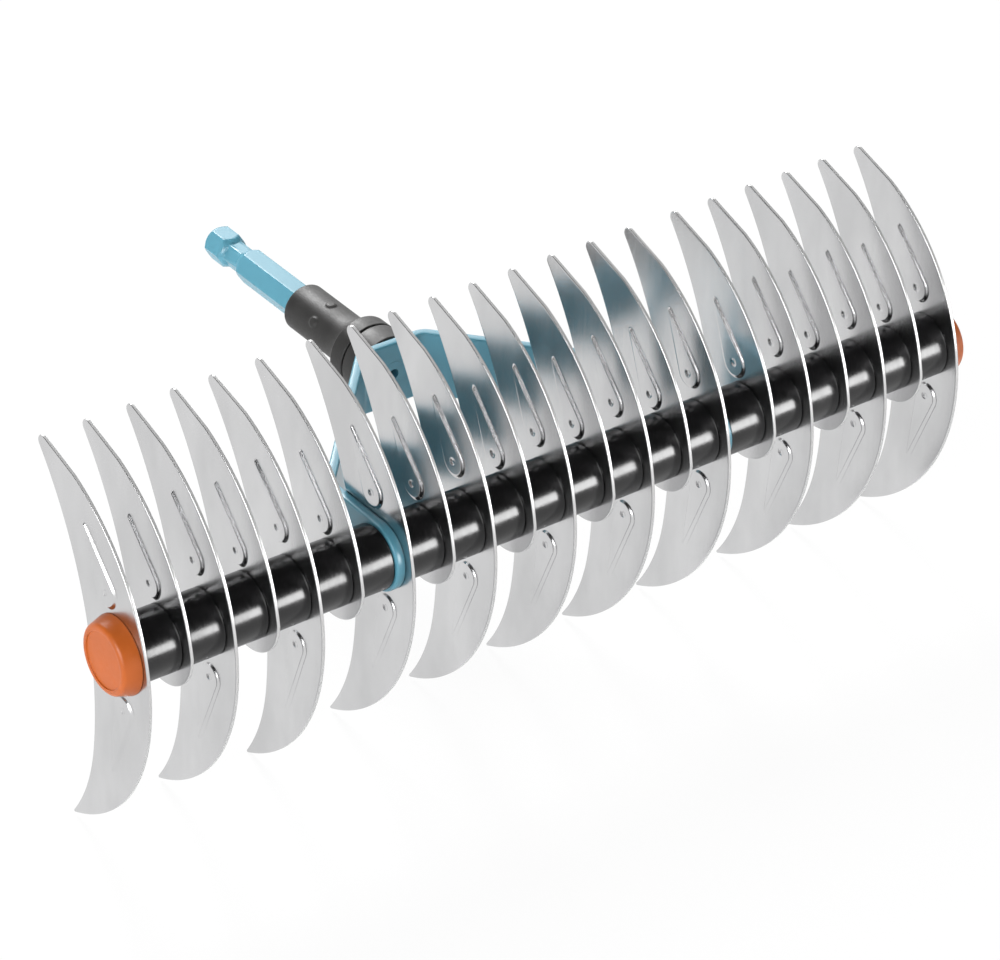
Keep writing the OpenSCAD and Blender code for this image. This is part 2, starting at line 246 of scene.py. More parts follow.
POLISHED_STEEL = Finish(
    name="polished_blade_steel",
    slot=Slot.BLADE,
    dark=(0.55, 0.55, 0.555),
    light=(0.64, 0.64, 0.645),
    rough=(0.19, 0.25),
    mottle=(35.0, 45.0, 22.0),
    grain=(120.0, 900.0, 70.0),
    relief=0.0000015,
    metallic=1.0,
    edge=(0.5, 0.5, 0.5),
)
GLOSS_BLACK = Finish(
    name="gloss_black_sleeve",
    slot=Slot.SPACER,
    dark=(0.0015, 0.0015, 0.0017),
    light=(0.0032, 0.0032, 0.0036),
    rough=(0.18, 0.26),
    mottle=(60.0, 60.0, 60.0),
    grain=(900.0, 260.0, 260.0),
    relief=0.000006,
    ior=1.5,
)
MOULDED_BLACK = Finish(
    name="moulded_black_joint",
    slot=Slot.JOINT,
    dark=(0.014, 0.0135, 0.013),
    light=(0.022, 0.0212, 0.0205),
    rough=(0.42, 0.56),
    mottle=(90.0, 90.0, 90.0),
    grain=(1400.0, 1400.0, 1400.0),
    relief=0.00003,
    ior=1.42,
)
BLUE_PAINT = Finish(
    name="blue_strap_paint",
    slot=Slot.PAINT,
    dark=(0.077, 0.254, 0.337),
    light=(0.084, 0.272, 0.359),
    rough=(0.28, 0.31),
    mottle=(50.0, 50.0, 50.0),
    grain=(700.0, 700.0, 700.0),
    relief=0.000004,
    ior=1.5,
)
ORANGE_PLASTIC = Finish(
    name="orange_cap_plastic",
    slot=Slot.CAP,
    dark=(0.38, 0.084, 0.012),
    light=(0.43, 0.096, 0.015),
    rough=(0.3, 0.42),
    mottle=(80.0, 80.0, 80.0),
    grain=(900.0, 900.0, 900.0),
    relief=0.00002,
    ior=1.36,
)
AXLE_STEEL = Finish(
    name="drawn_axle_steel",
    slot=Slot.AXLE,
    dark=(0.5, 0.5, 0.51),
    light=(0.6, 0.6, 0.61),
    rough=(0.25, 0.4),
    mottle=(40.0, 60.0, 60.0),
    grain=(60.0, 900.0, 900.0),
    relief=0.00002,
    metallic=1.0,
)


def dress(piece: bpy.types.Object, finish: Finish, body: Body, *nodes: str) -> None:
    """Gives a new piece its finish and its body, and hides the nodes that it stands for.

    Args:
        piece: The piece, in place in the row frame.
        finish: The piece's finish.
        body: The body that carries it.
        nodes: The CAD nodes that it replaces.
    """
    piece.data.materials.clear()
    piece.data.materials.append(finish.material())
    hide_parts(*nodes)
    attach(piece, body.value)
    LOG.info("%s: %d faces, for %s", piece.name, len(piece.data.polygons), ", ".join(nodes))


def paint_node(node: str, finish: Finish) -> None:
    """Gives a CAD node that stays a better material.

    Args:
        node: The node's name.
        finish: The finish that it gets.
    """
    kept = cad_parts[node]
    if not kept.material_slots:
        kept.data.materials.append(finish.material())
    for place in kept.material_slots:
        place.material = finish.material()
    LOG.info("%s: kept, with %s", node, finish.name)


def add_object(name: str, mesh: bpy.types.Mesh) -> bpy.types.Object:
    """Puts a mesh in the scene as an object at the origin.

    Args:
        name: The object's name.
        mesh: Its mesh, in place in the row frame.

    Returns:
        The object.
    """
    made = bpy.data.objects.new(name, mesh)
    bpy.context.scene.collection.objects.link(made)
    return made


def close_mesh(mesh: bpy.types.Mesh, sharp: float = 32.0, merge: float = 1e-7) -> None:
    """Merges doubles, turns the faces outwards and shades the mesh smooth.

    Args:
        mesh: The mesh to finish.
        sharp: Angle in degrees past which an edge stays sharp.
        merge: Distance in metres under which points are one.
    """
    work = bmesh.new()
    work.from_mesh(mesh)
    bmesh.ops.remove_doubles(work, verts=work.verts, dist=merge)
    bmesh.ops.recalc_face_normals(work, faces=work.faces)
    work.to_mesh(mesh)
    work.free()
    mesh.polygons.foreach_set("use_smooth", [True] * len(mesh.polygons))
    mesh.set_sharp_from_angle(angle=math.radians(sharp))


def arc(centre: Vector, radius: float, start: float, end: float, steps: int) -> Loop:
    """Points of an arc.

    Args:
        centre: Centre of the arc.
        radius: Radius of the arc.
        start: First angle in radians.
        end: Last angle in radians.
        steps: Number of spans.

    Returns:
        The points, both ends among them.
    """
    turns = [start + (end - start) * i / steps for i in range(steps + 1)]
    return [centre + radius * Vector((math.cos(t), math.sin(t))) for t in turns]


def heading(v: Vector) -> float:
    """Angle of a vector in radians, from 0 to a full turn."""
    return math.atan2(v.y, v.x) % math.tau


def ccw(loop: Loop) -> Loop:
    """The loop, running anticlockwise."""
    area = sum(a.x * b.y - b.x * a.y for a, b in zip(loop, loop[1:] + loop[:1]))
    return loop if area > 0 else loop[::-1]


def drop_doubles(loop: Loop) -> Loop:
    """The loop without points that repeat the one before."""
    return [p for p, q in zip(loop, loop[-1:] + loop[:-1]) if (p - q).length > 1e-4]


def inset(loop: Loop, by: float) -> Loop:
    """Moves an anticlockwise loop inwards.

    Args:
        loop: The loop.
        by: Distance to move it.

    Returns:
        The moved loop, point for point.
    """
    moved = []
    for before, here, after in zip(loop[-1:] + loop[:-1], loop, loop[1:] + loop[:1]):
        along = (here - before).normalized() + (after - here).normalized()
        along.normalize()
        moved.append(here + by * Vector((-along.y, along.x)))
    return moved


def inside(point: Vector, loop: Loop) -> bool:
    """Counts how often a line from a point crosses a loop.

    Args:
        point: The point.
        loop: The loop.

    Returns:
        True if the point lies inside.
    """
    found = False
    for a, b in zip(loop, loop[1:] + loop[:1]):
        if (a.y > point.y) != (b.y > point.y):
            found ^= point.x < a.x + (point.y - a.y) / (b.y - a.y) * (b.x - a.x)
    return found


@dataclass
class Plate:
    """Sheet metal cut to an outline, with rounded edges and pressed ridges, in millimetres.

    Args:
        outline: The sheet's edge.
        thickness: The sheet's thickness.
        rounding: Rounding of the sheet's edge.
        holes: Loops of the holes.
        ridges: Loops, each with its height over the face, from outside in.
        folds: Pairs of outline indices that the face is split between.
        support: Width of the flat band inside the rounding.
        rim_turns: Angles in degrees at which the rounding is cut into faces.
    """

    outline: Loop
    thickness: float
    rounding: float
    holes: list[Loop] = field(default_factory=list)
    ridges: list[tuple[Loop, float]] = field(default_factory=list)
    folds: list[tuple[int, int]] = field(default_factory=list)
    support: float = 0.4
    rim_turns: tuple[float, ...] = (30.0, 60.0, 90.0)

    def face(self, edge: Loop) -> tuple[list[Vector], list[float], list[list[int]], dict[int, int]]:
        """Fills the sheet's face with triangles.

        Args:
            edge: The loop that bounds the flat face.

        Returns:
            Points, their heights, triangles, and the new index of each input point.
        """
        flat = inset(self.outline, self.rounding + self.support)
        loops = [(edge, 0.0), (flat, 0.0), *[(hole, 0.0) for hole in self.holes], *self.ridges]
        points: list[Vector] = []
        heights: list[float] = []
        edges: list[tuple[int, int]] = []
        for loop, height in loops:
            first, count = len(points), len(loop)
            points += loop
            heights += [height] * count
            edges += [(first + i, first + (i + 1) % count) for i in range(count)]
        count = len(edge)
        for a, b in self.folds:
            edges += [(a, count + a), (count + a, count + b), (count + b, b)]
        made, _, faces, origin, _, _ = delaunay_2d_cdt(points, edges, [], 0, 1e-6)
        level = [heights[o[0]] if o else 0.0 for o in origin]
        new_index = {old: new for new, olds in enumerate(origin) for old in olds}
        kept = []
        for corners in faces:
            middle = sum((made[c] for c in corners), Vector((0.0, 0.0))) / len(corners)
            if inside(middle, edge) and not any(inside(middle, hole) for hole in self.holes):
                kept.append(list(corners))
        return list(made), level, kept, new_index

    def mesh(self, name: str, place: Place) -> bpy.types.Mesh:
        """Builds the sheet.

        Args:
            name: The mesh's name.
            place: Turns a point of the flat sheet, and its height over the middle, into metres.

        Returns:
            The closed mesh.
        """
        self.outline = ccw(drop_doubles(self.outline))
        half, count = self.thickness / 2, len(self.outline)
        edge = inset(self.outline, self.rounding)
        points, level, triangles, index = self.face(edge)
        verts = [place(p.x, p.y, half + h) for p, h in zip(points, level)]
        verts += [place(p.x, p.y, h - half) for p, h in zip(points, level)]
        below = len(points)
        faces = triangles + [[below + c for c in reversed(corners)] for corners in triangles]
        rings = [[index[i] for i in range(count)]]
        turns = [math.radians(a) for a in self.rim_turns]
        rims = [(1 - math.sin(t), half - self.rounding * (1 - math.cos(t))) for t in turns]
        for share, level_at in rims + [(s, -z) for s, z in reversed(rims)]:
            rings.append(list(range(len(verts), len(verts) + count)))
            verts += [place(p.x, p.y, level_at) for p in inset(self.outline, share * self.rounding)]
        rings.append([below + index[i] for i in range(count)])
        for upper, lower in zip(rings, rings[1:]):
            faces += [
                [upper[i], upper[(i + 1) % count], lower[(i + 1) % count], lower[i]] for i in range(count)
            ]
        first = 2 * count
        for hole in self.holes:
            ring = [index[first + i] for i in range(len(hole))]
            first += len(hole)
            faces += [[b, a, below + a, below + b] for a, b in zip(ring, ring[1:] + ring[:1])]
        made = bpy.data.meshes.new(name)
        made.from_pydata(verts, [], faces)
        rim = made.attributes.new(EDGE_MARK, "FLOAT", "POINT")
        for vertex in rings[len(rims)] + rings[len(rims) + 1]:
            rim.data[vertex].value = 1.0
        close_mesh(made)
        return made


def loft(name: str, rings: Sequence[Sequence[Vector]], hollow: bool = False) -> bpy.types.Mesh:
    """Joins rings of equal counts with quads.

    Args:
        name: The mesh's name.
        rings: The rings in order.
        hollow: True to join the last ring to the first, False to close both ends.

    Returns:
        The closed mesh.
    """
    count = len(rings[0])
    verts = [point for ring in rings for point in ring]
    faces = [] if hollow else [list(range(count)), [len(verts) - 1 - i for i in range(count)]]
    for r in range(len(rings) if hollow else len(rings) - 1):
        low, high = r * count, (r + 1) % len(rings) * count
        faces += [
            [low + i, low + (i + 1) % count, high + (i + 1) % count, high + i] for i in range(count)
        ]
    made = bpy.data.meshes.new(name)
    made.from_pydata(verts, [], faces)
    close_mesh(made)
    return made


class RuleTree:
    """A Geometry Nodes tree with named inputs, and what turns its result into a plain mesh."""

    def __init__(self, name: str, inputs: dict[str, str]) -> None:
        """Starts the tree.

        Args:
            name: The tree's name.
            inputs: Socket types by input name.
        """
        self.tree = bpy.data.node_groups.new(name, "GeometryNodeTree")
        face = self.tree.interface
        face.new_socket("Geometry", in_out="OUTPUT", socket_type="NodeSocketGeometry")
        self.names = {
            key: face.new_socket(key, in_out="INPUT", socket_type=kind).identifier
            for key, kind in inputs.items()
        }
        self.source = self.tree.nodes.new("NodeGroupInput")

    def end(self, geometry: bpy.types.NodeSocket, finish: Finish) -> None:
        """Ends the tree in real geometry with its material.

        Args:
            geometry: The geometry to give out.
            finish: The finish that it gets.
        """
        real = wire(self.tree, "GeometryNodeRealizeInstances", {"Geometry": geometry})
        dressed = wire(
            self.tree,
            "GeometryNodeSetMaterial",
            {"Geometry": real.outputs["Geometry"], "Material": finish.material()},
        )
        wire(self.tree, "NodeGroupOutput", {"Geometry": dressed.outputs["Geometry"]})

    def make(self, name: str, base: bpy.types.Mesh, values: dict[str, object]) -> bpy.types.Object:
        """Runs the tree and keeps its result as a plain mesh.

        Args:
            name: The piece's name.
            base: The mesh that the tree starts from.
            values: The tree's inputs by name.

        Returns:
            The piece, with no modifier.
        """
        piece = bpy.data.objects.new(name, base)
        run = piece.modifiers.new(self.tree.name, "NODES")
        run.node_group = self.tree
        for key, value in values.items():
            run[self.names[key]] = value
        bpy.context.scene.collection.objects.link(piece)
        ready = piece.evaluated_get(bpy.context.evaluated_depsgraph_get())
        made = bpy.data.meshes.new_from_object(ready)
        made.name = name
        piece.modifiers.clear()
        piece.data = made
        close_mesh(made)
        return piece


@dataclass
class Bar:
    """Where the bar's axis lies in the row frame, in metres."""

    y: float
    z: float

    @classmethod
    def from_frame(cls) -> "Bar":
        """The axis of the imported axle."""
        low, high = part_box("axle")
        return cls((low.y + high.y) / 2, (low.z + high.z) / 2)

    def point(self, x: float, y: float, z: float) -> Vector:
        """A point in millimetres from the bar's middle, in the row frame."""
        return Vector((x * MM, self.y + y * MM, self.z + z * MM))


@dataclass(frozen=True)
class Pressing:
    """A leaf-shaped pressing in a blade: a round end and a point, in Y and Z from the bar's axis."""

    round_r: float
    round_at: tuple[float, float]
    point_at: tuple[float, float]


@dataclass
class BladeRow:
    """The crescent blades, in millimetres from the bar's axis.

    A pressing's wall is given by how far each loop is drawn in and by its share of the height,
    and a dimple's by shares of its radius and of its depth.
    """

    bar: Bar
    count: int = 21
    thickness: float = 1.2
    edge_round: float = 0.25
    front_r: float = 72.0
    front_reach: float = 17.0
    front_z: float = -12.9
    back_r: float = 133.5
    back_reach: float = 14.7
    back_z: float = -31.0
    curl_r: float = 70.0
    curl_z: float = -47.0
    bevel_y: float = 26.0
    bevel_angle: float = 17.0
    tip_r: float = 2.4
    hook_r: float = 0.5
    bore_r: float = 5.05
    askew_blade: int = 5
    askew_turn: float = -2.5
    press_h: float = 0.8
    press_point_r: float = 1.3
    press_min_r: float = 0.15
    press_wall: tuple[tuple[float, float], ...] = (
        (-0.3, 0.0),
        (0.0, 0.0),
        (0.3, 0.15),
        (0.6, 0.5),
        (0.9, 0.85),
        (1.2, 1.0),
        (1.5, 1.0),
    )
    dimple_r: float = 1.5
    dimple_depth: float = 0.45
    dimple_wall: tuple[tuple[float, float], ...] = (
        (1.25, 0.0),
        (1.0, 0.0),
        (0.8, 0.35),
        (0.55, 0.9),
        (0.3, 1.0),
    )
    short_drop: float = 2.6
    upper: Pressing = Pressing(5.8, (7.0, 19.8), (19.3, 38.2))
    lower: Pressing = Pressing(5.4, (-2.8, -20.0), (3.2, -47.0))

    def outline(self, is_long: bool) -> Loop:
        """A blade's edge.

        Args:
            is_long: True for a blade with a hook below, False for one with a round end.

        Returns:
            The edge's points, in Y and Z.
        """
        front = Vector((self.front_r - self.front_reach, self.front_z))
        back = Vector((self.back_r + self.back_reach, self.back_z))
        rise = math.sqrt(self.front_r**2 - (self.bevel_y - front.x) ** 2)
        start = Vector((self.bevel_y, self.front_z + rise))
        turn = math.radians(self.bevel_angle)
        along = Vector((math.cos(turn), math.sin(turn)))
        out = Vector((-along.y, along.x))
        reach = self.back_r + self.tip_r
        gap = start - self.tip_r * out - back
        dot = gap.dot(along)
        tip = back + gap + (-dot - math.sqrt(dot * dot - gap.dot(gap) + reach * reach)) * along
        upper = arc(tip, self.tip_r, heading(out), heading(back - tip) - math.tau, 10)
        back_top = heading(tip - back)
        if is_long:
            curl_y = back.x - math.sqrt(self.back_r**2 - (self.curl_z - back.y) ** 2)
            curl_at = Vector((curl_y, self.curl_z))
            curl = curl_at + self.curl_r * (back - curl_at).normalized()
            between = curl - front
            inner, outer = self.front_r - self.hook_r, self.curl_r + self.hook_r
            far = (between.length_squared + inner**2 - outer**2) / (2 * between.length)
            unit = between.normalized()
            side = math.sqrt(inner**2 - far**2)
            hook = front + far * unit + side * Vector((unit.y, -unit.x))
            low, back_low = heading(hook - front), heading(curl_at - back)
            closing = arc(curl, self.curl_r, heading(curl_at - curl), heading(hook - curl), 22)
            closing += arc(hook, self.hook_r, heading(curl - hook), low - math.tau, 6)
        else:
            front_edge = front.x - math.sqrt(self.front_r**2 - self.front_z**2)
            back_edge = back.x - math.sqrt(self.back_r**2 - self.back_z**2)
            middle, radius = Vector(((front_edge + back_edge) / 2, 0.0)), (back_edge - front_edge) / 2
            low = heading(Vector((front_edge, 0.0)) - front)
            back_low = heading(Vector((back_edge, 0.0)) - back)
            closing = arc(middle, radius, 0.0, -math.pi, 32)
        rising = arc(front, self.front_r, low, heading(start - front), 72)
        falling = arc(back, self.back_r, back_top, back_low, 56)
        return rising + upper + falling + closing

    def pressing(self, leaf: Pressing, drop: float) -> list[tuple[Loop, float]]:
        """Loops of a leaf-shaped pressing and of the dimple in its round end.

        Args:
            leaf: The pressing's ends.
            drop: Distance that it lies lower.

        Returns:
            Loops with their heights, from outside in.
        """
        low = Vector((0.0, drop))
        wide, point = Vector(leaf.round_at) - low, Vector(leaf.point_at) - low
        way = (point - wide).normalized()
        taper = (leaf.round_r - self.press_point_r) / (point - wide).length
        base, side = heading(way), math.acos(taper)
        loops = []
        for draw_in, rise in self.press_wall:
            point_r = max(self.press_point_r - draw_in, self.press_min_r)
            end = point - (point_r - self.press_point_r + draw_in) / taper * way
            loop = arc(wide, leaf.round_r - draw_in, base + side, base + math.tau - side, 32)
            loop += arc(end, point_r, base - side, base + side, 6)
            loops.append((loop, rise * self.press_h))
        for share, depth in self.dimple_wall:
            level = self.press_h - depth * self.dimple_depth
            loops.append((arc(wide, share * self.dimple_r, 0.0, math.tau, 20)[:-1], level))
        return loops

    def template(self, is_long: bool) -> bpy.types.Mesh:
        """A pressed blade on the bar's axis, at the middle of the bar.

        Args:
            is_long: True for a blade with a hook below.

        Returns:
            The blade's mesh.
        """
        leaves = self.pressing(self.upper, 0.0 if is_long else self.short_drop)
        if is_long:
            leaves += self.pressing(self.lower, 0.0)
        sheet = Plate(
            outline=self.outline(is_long),
            thickness=self.thickness,
            rounding=self.edge_round,
            holes=[arc(Vector((0.0, 0.0)), self.bore_r, 0.0, math.tau, 32)[:-1]],
            ridges=leaves,
        )
        return sheet.mesh("blade_form", lambda u, v, h: Vector((-h * MM, u * MM, v * MM)))

    def build(self) -> None:
        """Seats every blade on the bar, where its node is."""
        seat = RuleTree(
            "seat_on_bar",
            {"Blade": "NodeSocketGeometry", "Place": "NodeSocketVector", "Turn": "NodeSocketVector"},
        )
        given = seat.source.outputs
        moved = wire(
            seat.tree,
            "GeometryNodeTransform",
            {"Geometry": given["Blade"], "Translation": given["Place"], "Rotation": given["Turn"]},
        )
        seat.end(moved.outputs["Geometry"], POLISHED_STEEL)
        forms = {True: self.template(True), False: self.template(False)}
        for k in range(1, self.count + 1):
            node, is_long = f"blade_{k:02d}", k % 2 == 1
            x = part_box(node)[1].x - self.thickness / 2 * MM
            turn = math.radians(self.askew_turn) if k == self.askew_blade else 0.0
            values = {"Place": (x, self.bar.y, self.bar.z), "Turn": (turn, 0.0, 0.0)}
            piece = seat.make(f"pressed_{node}", forms[is_long], values)
            dress(piece, POLISHED_STEEL, Body.HEAD, node)


@dataclass
class SleeveRow:
    """The spacer sleeves between the blades, in millimetres."""

    bar: Bar
    count: int = 20
    bore_r: float = 5.05
    rounding: float = 0.8

    def rule(self) -> RuleTree:
        """The tree that turns a rounded wall section round the bar.

        Returns:
            The tree.
        """
        kinds = {"Outer radius": "NodeSocketFloat", "Bore radius": "NodeSocketFloat"}
        kinds |= {"Length": "NodeSocketFloat", "Rounding": "NodeSocketFloat", "Place": "NodeSocketVector"}
        made = RuleTree("sleeve_on_bar", kinds)
        tree, given = made.tree, made.source.outputs
        outer, bore = given["Outer radius"], given["Bore radius"]
        both = wire(tree, "ShaderNodeMath", {0: outer, 1: bore}, operation="ADD")
        middle = wire(tree, "ShaderNodeMath", {0: both.outputs[0], 1: 0.5}, operation="MULTIPLY")
        wall = wire(tree, "ShaderNodeMath", {0: outer, 1: bore}, operation="SUBTRACT")
        circle = wire(
            tree, "GeometryNodeCurvePrimitiveCircle", {"Resolution": 96, "Radius": middle.outputs[0]}
        )
        section = wire(
            tree,
            "GeometryNodeCurvePrimitiveQuadrilateral",
            {"Width": wall.outputs[0], "Height": given["Length"]},
        )
        soft = wire(
            tree,
            "GeometryNodeFilletCurve",
            {"Curve": section.outputs["Curve"], "Radius": given["Rounding"], "Count": 6},
            mode="POLY",
        )
        turned = wire(
            tree,
            "GeometryNodeCurveToMesh",
            {"Curve": circle.outputs["Curve"], "Profile Curve": soft.outputs["Curve"]},
        )
        laid = wire(
            tree,
            "GeometryNodeTransform",
            {
                "Geometry": turned.outputs["Mesh"],
                "Translation": given["Place"],
                "Rotation": (0.0, math.pi / 2, 0.0),
            },
        )
        made.end(laid.outputs["Geometry"], GLOSS_BLACK)
        return made

    def build(self) -> None:
        """Makes every sleeve where its node is."""
        rule = self.rule()
        for k in range(1, self.count + 1):
            node = f"spacer_{k:02d}"
            low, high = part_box(node)
            values = {
                "Outer radius": (high.z - low.z) / 2,
                "Bore radius": self.bore_r * MM,
                "Length": high.x - low.x,
                "Rounding": self.rounding * MM,
                "Place": ((low.x + high.x) / 2, self.bar.y, self.bar.z),
            }
            piece = rule.make(f"gloss_{node}", bpy.data.meshes.new(f"gloss_{node}"), values)
            dress(piece, GLOSS_BLACK, Body.HEAD, node)


@dataclass
class EndCaps:
    """The moulded caps over the axle's ends, in millimetres."""

    bar: Bar
    slope: float = 16.0
    rim_round: float = 1.8
    foot_round: float = 0.3
    recess_r: float = 9.9
    recess: float = 0.5
    lip_round: float = 0.2
    recess_edge: float = 0.9
    hollow_r: float = 9.05
    hollow: float = 2.65
    steps: int = 96

    def section(self, radius: float, height: float) -> Loop:
        """The cap's section, from the hollow round the rim to the recess.

        Args:
            radius: The cap's radius.
            height: The cap's thickness.

        Returns:
            Points of radius and height.
        """
        lean, up = math.radians(self.slope), height - self.rim_round
        rim = Vector((radius - self.rim_round / math.cos(lean) - up * math.tan(lean), up))
        foot = Vector((radius - self.foot_round, self.foot_round))
        points = [Vector((self.hollow_r, self.hollow)), Vector((self.hollow_r, 0.0))]
        points += arc(foot, self.foot_round, -math.pi / 2, lean, 6)
        points += arc(rim, self.rim_round, lean, math.pi / 2, 12)
        soft, bottom = self.lip_round, height - self.recess
        points += arc(Vector((self.recess_r + soft, height - soft)), soft, math.pi / 2, math.pi, 4)
        points += arc(Vector((self.recess_r - soft, bottom + soft)), soft, 0.0, -math.pi / 2, 4)
        return points + [Vector((self.recess_r - self.recess_edge, bottom))]

    def build(self) -> None:
        """Makes both caps where their nodes are."""
        for node, out in (("cap_left", -1.0), ("cap_right", 1.0)):
            low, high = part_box(node)
            foot = (high.x if out < 0 else low.x) / MM
            section = self.section((high.z - low.z) / 2 / MM, (high.x - low.x) / MM)
            turns = [math.tau * i / self.steps for i in range(self.steps)]
            rings = [
                [self.bar.point(foot + out * p.y, p.x * math.cos(t), p.x * math.sin(t)) for t in turns]
                for p in section
            ]
            piece = add_object(f"moulded_{node}", loft(f"moulded_{node}", rings))
            dress(piece, ORANGE_PLASTIC, Body.HEAD, node)


@dataclass
class StrapBracket:
    """The bent strap that carries the bar, in millimetres from the bar's axis."""

    bar: Bar
    width: float = 25.0
    thickness: float = 3.5
    bend_r: float = 4.0
    plate_reach: float = 86.5
    plate_half: float = 13.0
    arm_reach: float = 28.5
    edge_round: float = 0.7
    hole_r: float = 5.05
    steps: int = 10

    def path(self) -> list[tuple[float, Vector, Vector]]:
        """The strap's middle line from the left end to the right.

        Returns:
            Length along the strap, place and outward normal of each station, in X and Y.
        """
        arm_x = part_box("bracket")[1].x / MM - self.thickness / 2
        mid_y, mid_r = self.plate_reach + self.thickness / 2, self.bend_r + self.thickness / 2
        slant = math.atan2(mid_y - self.arm_reach, arm_x - self.plate_half)
        plate_c = Vector((self.plate_half - mid_r * math.tan(slant / 2), mid_y - mid_r))
        arm_c = Vector((arm_x - mid_r, self.arm_reach - mid_r * math.tan(math.pi / 4 - slant / 2)))
        upright = math.pi / 2
        side: list[tuple[Vector, Vector]] = []
        for centre, start, end in ((plate_c, upright, upright - slant), (arm_c, upright - slant, 0.0)):
            for point in arc(centre, mid_r, start, end, self.steps):
                side.append((point, (point - centre).normalized()))
        across = Vector((1.0, 0.0))
        side += [(Vector((arm_x, 0.0)), across), (Vector((arm_x, -self.width / 2)), across)]
        left = [(Vector((-p.x, p.y)), Vector((-n.x, n.y))) for p, n in reversed(side)]
        stations, run = [], 0.0
        for i, (point, normal) in enumerate(left + side):
            run += (point - stations[-1][1]).length if i else 0.0
            stations.append((run, point, normal))
        return stations

    def build(self) -> None:
        """Cuts the strap flat, bends it and puts it where its node is."""
        stations = self.path()
        total, half = stations[-1][0], self.width / 2
        runs = [s for s, _, _ in stations[1:-1]]
        right = arc(Vector((total - half, 0.0)), half, -math.pi / 2, math.pi / 2, 32)
        left = arc(Vector((half, 0.0)), half, math.pi / 2, 1.5 * math.pi, 32)
        bottom = [Vector((s, -half)) for s in runs[1:-1]]
        top = [Vector((s, half)) for s in reversed(runs[1:-1])]
        outline = bottom + right + top + left
        spans = len(bottom)
        first_top = spans + len(right)
        folds = [(i, first_top + spans - 1 - i) for i in range(spans)]
        seats = (half, total / 2, total - half)
        sheet = Plate(
            outline=outline,
            thickness=self.thickness,
            rounding=self.edge_round,
            holes=[arc(Vector((s, 0.0)), self.hole_r, 0.0, math.tau, 40)[:-1] for s in seats],
            folds=folds,
        )

        def bend(u: float, v: float, h: float) -> Vector:
            """Place of a point of the flat strap.

            Args:
                u: Length along the strap.
                v: Height over its middle line.
                h: Distance outwards from its middle plane.

            Returns:
                The point in metres.
            """
            u = min(max(u, 0.0), total)
            at = next(i for i in range(1, len(stations)) if u <= stations[i][0] + 1e-9)
            (s0, p0, n0), (s1, p1, n1) = stations[at - 1], stations[at]
            share = (u - s0) / (s1 - s0) if s1 > s0 else 0.0
            point = p0.lerp(p1, share) + h * n0.lerp(n1, share).normalized()
            return self.bar.point(point.x, point.y, v)

        piece = add_object("painted_bracket", sheet.mesh("painted_bracket", bend))
        dress(piece, BLUE_PAINT, Body.HEAD, "bracket")


